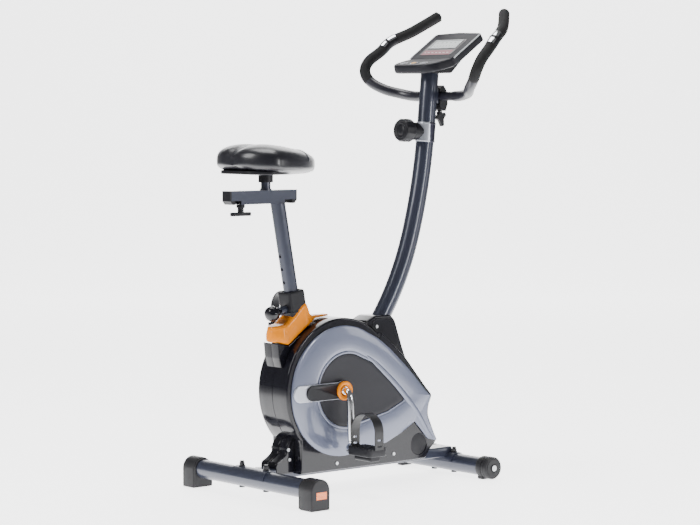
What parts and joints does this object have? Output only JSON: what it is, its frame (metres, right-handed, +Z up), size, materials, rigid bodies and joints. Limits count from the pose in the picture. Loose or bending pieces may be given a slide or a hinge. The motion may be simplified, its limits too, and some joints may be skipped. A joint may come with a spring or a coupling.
{
  "type": "upright exercise bike",
  "caption": "Upright magnetic exercise bike: black drum casing with grey side rings, adjustable saddle, curved post, U handlebar with grips and a console.",
  "frame": {"origin": "on the floor under the middle of the bike's bounding box", "axes": "+X forwards, the way the rider faces; +Y to the rider's left; +Z up"},
  "size_m": [0.8719, 0.54, 1.2815],
  "materials": {
    "frame_paint": "metallic blue-grey gloss",
    "fastener_black": "black satin",
    "foot_rubber": "satin moulded",
    "reflector": "orange gloss",
    "zinc": "zinc plated",
    "gloss_black": "high gloss black",
    "satin_black": "fine moulded texture",
    "side_grey": "metallic silver-blue gloss",
    "orange_gloss": "orange gloss",
    "satin_silver": "satin silver",
    "cable_jacket": "smooth black",
    "belt_rubber": "matte",
    "console_print": "printed panel",
    "lcd_glass": "display",
    "chrome": "polished",
    "strap_vinyl": "soft vinyl",
    "flywheel_iron": "turned rim",
    "saddle_vinyl": "smooth glossy vinyl",
    "grip_foam": "dense foam",
    "button_grey": "satin"
  },
  "bodies": {
    "frame": {"base_tube": "frame_paint", "rear_stabiliser": "frame_paint", "front_stabiliser": "frame_paint", "frame_bolts": "fastener_black", "rear_end_caps": "foot_rubber", "reflectors": "reflector", "front_end_caps": "foot_rubber", "seat_tube": "frame_paint", "head_stub": "frame_paint", "bottom_bracket": "frame_paint", "crank_bearings": "zinc", "flywheel_axle": "zinc", "post_bushing": "satin_black", "right_cover": "gloss_black", "left_cover": "gloss_black", "side_rings": "side_grey", "side_panels": "gloss_black", "hub_bars": "gloss_black", "hub_rings": "orange_gloss", "seat_collar": "satin_black", "seat_tube_cover": "orange_gloss", "front_shroud": "gloss_black", "cover_screws": "zinc", "handlebar_post": "frame_paint", "post_band": "satin_silver", "tension_housing": "satin_black", "tension_cable": "cable_jacket", "drive_belt": "belt_rubber", "console_housing": "satin_black", "console_back": "satin_black", "console_face": "console_print", "lcd_screen": "lcd_glass", "handlebar_clamp": "satin_black"},
    "right_roller": {"right_roller": "foot_rubber"},
    "left_roller": {"left_roller": "foot_rubber"},
    "crank": {"crank_axle": "zinc", "drive_pulley": "satin_black", "right_crank": "chrome", "left_crank": "chrome"},
    "right_pedal": {"right_pedal": "satin_black", "right_strap": "strap_vinyl"},
    "left_pedal": {"left_pedal": "satin_black", "left_strap": "strap_vinyl"},
    "flywheel": {"flywheel": "flywheel_iron"},
    "brake": {"brake_arm": "frame_paint"},
    "tension_knob": {"tension_knob": "satin_black"},
    "seat_post": {"seat_post": "frame_paint"},
    "saddle": {"seat_slider": "frame_paint", "rail_end_plugs": "satin_black", "saddle_pan": "satin_black", "saddle_cushion": "saddle_vinyl"},
    "slide_knob": {"slide_knob": "satin_black"},
    "pop_pin": {"pop_pin": "satin_black"},
    "handlebar": {"handlebar": "frame_paint", "grips": "grip_foam", "pulse_sensors": "chrome"},
    "clamp_knob": {"clamp_knob": "satin_black"},
    "left_button": {"left_button": "button_grey"},
    "middle_button": {"middle_button": "orange_gloss"},
    "right_button": {"right_button": "button_grey"}
  },
  "joints": [
    {"name": "crank_spin", "type": "hinge", "parent": "frame", "child": "crank", "pos_m": [-0.099, 0, 0.267], "axis": [0, 1, 0], "continuous": true},
    {"name": "right_pedal_spin", "type": "hinge", "parent": "crank", "child": "right_pedal", "pos_m": [-0.099, -0.167, 0.117], "axis": [0, 1, 0], "continuous": true},
    {"name": "left_pedal_spin", "type": "hinge", "parent": "crank", "child": "left_pedal", "pos_m": [-0.099, 0.167, 0.417], "axis": [0, 1, 0], "continuous": true},
    {"name": "flywheel_spin", "type": "hinge", "parent": "frame", "child": "flywheel", "pos_m": [0.103, 0, 0.195], "axis": [0, 1, 0], "continuous": true},
    {"name": "tension_turn", "type": "hinge", "parent": "frame", "child": "tension_knob", "pos_m": [0.25697, 0, 0.942], "axis": [0.9976, 0, -0.0698], "range_deg": [0, 315]},
    {"name": "brake_swing", "type": "hinge", "parent": "frame", "child": "brake", "pos_m": [0.05, 0, 0.334], "axis": [0, 1, 0], "range_deg": [0, 2.6]},
    {"name": "seat_height", "type": "slide", "parent": "frame", "child": "seat_post", "axis": [-0.184, 0, 0.9829], "range_m": [-0.14, 0.105]},
    {"name": "pop_pin_pull", "type": "slide", "parent": "frame", "child": "pop_pin", "axis": [-0.9829, 0, -0.184], "range_m": [-0.006, 0.008], "stiffness_N_per_m": 1500},
    {"name": "saddle_slide", "type": "slide", "parent": "seat_post", "child": "saddle", "axis": [1, 0, 0], "range_m": [-0.02, 0.02]},
    {"name": "slide_knob_turn", "type": "hinge", "parent": "saddle", "child": "slide_knob", "pos_m": [-0.383, 0, 0.745], "axis": [0, 0, 1], "range_deg": [-360, 0]},
    {"name": "handlebar_tilt", "type": "hinge", "parent": "frame", "child": "handlebar", "pos_m": [0.298, 0, 1.04], "axis": [0, 1, 0], "range_deg": [-20, 25]},
    {"name": "clamp_knob_turn", "type": "hinge", "parent": "frame", "child": "clamp_knob", "pos_m": [0.306, 0, 1.004], "axis": [-0.2588, 0, 0.9659], "range_deg": [-360, 0]},
    {"name": "right_roller_spin", "type": "hinge", "parent": "frame", "child": "right_roller", "pos_m": [0.33, -0.185, 0.032], "axis": [0, 1, 0], "continuous": true},
    {"name": "left_roller_spin", "type": "hinge", "parent": "frame", "child": "left_roller", "pos_m": [0.33, 0.185, 0.032], "axis": [0, 1, 0], "continuous": true},
    {"name": "left_button_press", "type": "slide", "parent": "frame", "child": "left_button", "axis": [-0.2169, 0, 0.9762], "range_m": [-0.0015, 0], "stiffness_N_per_m": 400},
    {"name": "middle_button_press", "type": "slide", "parent": "frame", "child": "middle_button", "axis": [-0.2169, 0, 0.9762], "range_m": [-0.0015, 0], "stiffness_N_per_m": 400},
    {"name": "right_button_press", "type": "slide", "parent": "frame", "child": "right_button", "axis": [-0.2169, 0, 0.9762], "range_m": [-0.0015, 0], "stiffness_N_per_m": 400}
  ],
  "couplings": [
    {"joint": "flywheel_spin", "follows": "crank_spin", "ratio": 8.3333},
    {"joint": "brake_swing", "follows": "tension_turn", "ratio": 0.007937}
  ]
}
